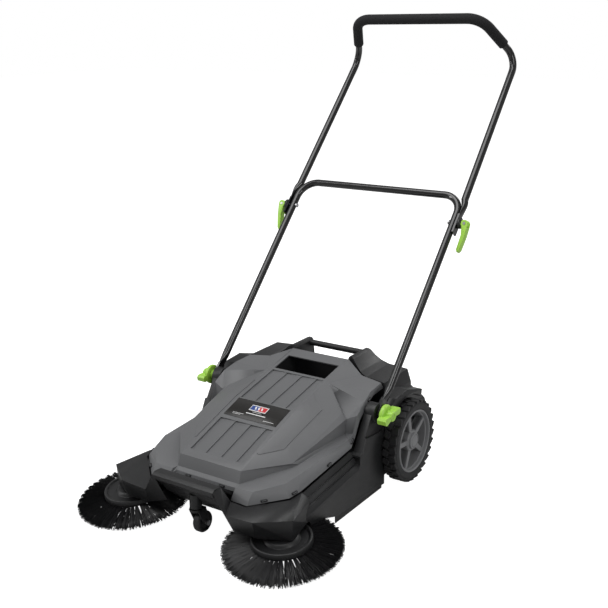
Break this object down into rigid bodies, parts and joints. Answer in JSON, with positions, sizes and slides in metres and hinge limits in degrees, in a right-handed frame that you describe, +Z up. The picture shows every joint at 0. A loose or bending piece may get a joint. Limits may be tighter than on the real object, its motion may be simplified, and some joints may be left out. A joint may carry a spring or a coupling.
{
  "type": "walk-behind floor sweeper",
  "caption": "Manual push floor sweeper with a folding tube handle, grey cover, wheel-driven roller, side brushes, front caster and a slide-out dirt hopper.",
  "frame": {"origin": "on the floor under the middle of the machine's footprint, handle in its working position", "axes": "+Z up, +Y from the side brushes towards the handle, so the machine travels towards -Y; +X is its left side"},
  "size_m": [0.7006, 1.2144, 1.1124],
  "materials": {
    "black_plastic": "moulded satin, fine texture",
    "grey_plastic": "moulded satin, fine texture",
    "rim_grey": "moulded satin",
    "green_plastic": "satin moulded nylon",
    "label": "printed film",
    "tube_black": "gloss powder coat",
    "foam": "closed-cell foam",
    "tyre": "moulded",
    "rubber": "plain",
    "bristle": "fine filament",
    "steel": "zinc plated",
    "gear_nylon": "plain"
  },
  "bodies": {
    "chassis": {"chassis_shell": "black_plastic", "brush_guard_left": "black_plastic", "brush_guard_right": "black_plastic", "front_bumper": "black_plastic", "top_cover": "grey_plastic", "label_plate": "label", "carry_well": "black_plastic", "fender_left": "black_plastic", "fender_right": "black_plastic", "pivot_bosses": "black_plastic", "pivot_bolts": "steel", "stub_axles": "steel", "roller_bushes": "gear_nylon", "drive_belts": "rubber", "spindle_housings": "black_plastic", "side_skirts": "rubber", "guard_screws": "steel"},
    "wheel_left": {"wheel_rim_left": "rim_grey", "tyre_left": "tyre", "hub_cap_left": "rim_grey", "ring_gear_left": "gear_nylon", "drive_pulley_left": "gear_nylon"},
    "wheel_right": {"wheel_rim_right": "rim_grey", "tyre_right": "tyre", "hub_cap_right": "rim_grey", "ring_gear_right": "gear_nylon", "drive_pulley_right": "gear_nylon"},
    "roller": {"roller_shaft": "steel", "roller_core": "black_plastic", "roller_bristles": "bristle", "pinion_left": "gear_nylon"},
    "free_pinion": {"pinion_right": "gear_nylon"},
    "side_brush_left": {"brush_hub_left": "black_plastic", "brush_bristles_left": "bristle", "brush_spindle_left": "steel", "brush_pulley_left": "gear_nylon"},
    "side_brush_right": {"brush_hub_right": "black_plastic", "brush_bristles_right": "bristle", "brush_spindle_right": "steel", "brush_pulley_right": "gear_nylon"},
    "caster": {"caster_fork": "black_plastic", "caster_axle": "steel"},
    "caster_roller": {"caster_wheel": "rubber"},
    "lower_handle_frame": {"lower_handle": "tube_black", "clamp_bolts": "steel", "clamp_blocks": "black_plastic", "lever_pins": "steel"},
    "upper_handle_frame": {"upper_handle": "tube_black", "foam_grip": "foam"},
    "lever_left": {"cam_lever_left": "green_plastic"},
    "lever_right": {"cam_lever_right": "green_plastic"},
    "knob_left": {"star_knob_left": "green_plastic"},
    "knob_right": {"star_knob_right": "green_plastic"},
    "hopper": {"hopper_tub": "black_plastic", "hopper_lid": "black_plastic", "hopper_grip": "black_plastic", "hopper_seal": "rubber"}
  },
  "joints": [
    {"name": "wheel_left_spin", "type": "hinge", "parent": "chassis", "child": "wheel_left", "pos_m": [0.2615, 0.0011, 0.103], "axis": [1, 0, 0], "continuous": true},
    {"name": "wheel_right_spin", "type": "hinge", "parent": "chassis", "child": "wheel_right", "pos_m": [-0.2615, 0.0011, 0.103], "axis": [1, 0, 0], "continuous": true},
    {"name": "roller_spin", "type": "hinge", "parent": "chassis", "child": "roller", "pos_m": [0, -0.03665, 0.063], "axis": [1, 0, 0], "continuous": true},
    {"name": "free_pinion_spin", "type": "hinge", "parent": "chassis", "child": "free_pinion", "pos_m": [-0.2365, -0.03665, 0.063], "axis": [1, 0, 0], "continuous": true},
    {"name": "side_brush_left_spin", "type": "hinge", "parent": "chassis", "child": "side_brush_left", "pos_m": [0.214, -0.4719, 0], "axis": [0.0149, -0.1191, 0.9928], "continuous": true},
    {"name": "side_brush_right_spin", "type": "hinge", "parent": "chassis", "child": "side_brush_right", "pos_m": [-0.214, -0.4719, 0], "axis": [-0.0149, -0.1191, 0.9928], "continuous": true},
    {"name": "caster_swivel", "type": "hinge", "parent": "chassis", "child": "caster", "pos_m": [0, -0.5019, 0.07], "axis": [0, 0, 1], "continuous": true},
    {"name": "caster_spin", "type": "hinge", "parent": "caster", "child": "caster_roller", "pos_m": [0, -0.4819, 0.025], "axis": [1, 0, 0], "continuous": true},
    {"name": "lower_handle_fold", "type": "hinge", "parent": "chassis", "child": "lower_handle_frame", "pos_m": [0, -0.1164, 0.2096], "axis": [1, 0, 0], "range_deg": [0, 130]},
    {"name": "upper_handle_fold", "type": "hinge", "parent": "lower_handle_frame", "child": "upper_handle_frame", "pos_m": [0, 0.25045, 0.60176], "axis": [1, 0, 0], "range_deg": [-140, 0]},
    {"name": "lever_left_open", "type": "hinge", "parent": "lower_handle_frame", "child": "lever_left", "pos_m": [0.28, 0.25045, 0.60176], "axis": [0, -0.9326, 0.361], "range_deg": [0, 130]},
    {"name": "lever_right_open", "type": "hinge", "parent": "lower_handle_frame", "child": "lever_right", "pos_m": [-0.28, 0.25045, 0.60176], "axis": [0, 0.9326, -0.361], "range_deg": [0, 130]},
    {"name": "knob_left_turn", "type": "hinge", "parent": "chassis", "child": "knob_left", "pos_m": [0.265, -0.1164, 0.2096], "axis": [1, 0, 0], "range_deg": [0, 720]},
    {"name": "knob_right_turn", "type": "hinge", "parent": "chassis", "child": "knob_right", "pos_m": [-0.265, -0.1164, 0.2096], "axis": [-1, 0, 0], "range_deg": [0, 720]},
    {"name": "hopper_slide", "type": "slide", "parent": "chassis", "child": "hopper", "axis": [0, 1, 0], "range_m": [0, 0.28]}
  ],
  "couplings": [
    {"joint": "roller_spin", "follows": "wheel_left_spin", "ratio": 3.75},
    {"joint": "free_pinion_spin", "follows": "wheel_right_spin", "ratio": 3.75},
    {"joint": "side_brush_left_spin", "follows": "wheel_left_spin", "ratio": 1.5},
    {"joint": "side_brush_right_spin", "follows": "wheel_right_spin", "ratio": -1.5}
  ]
}
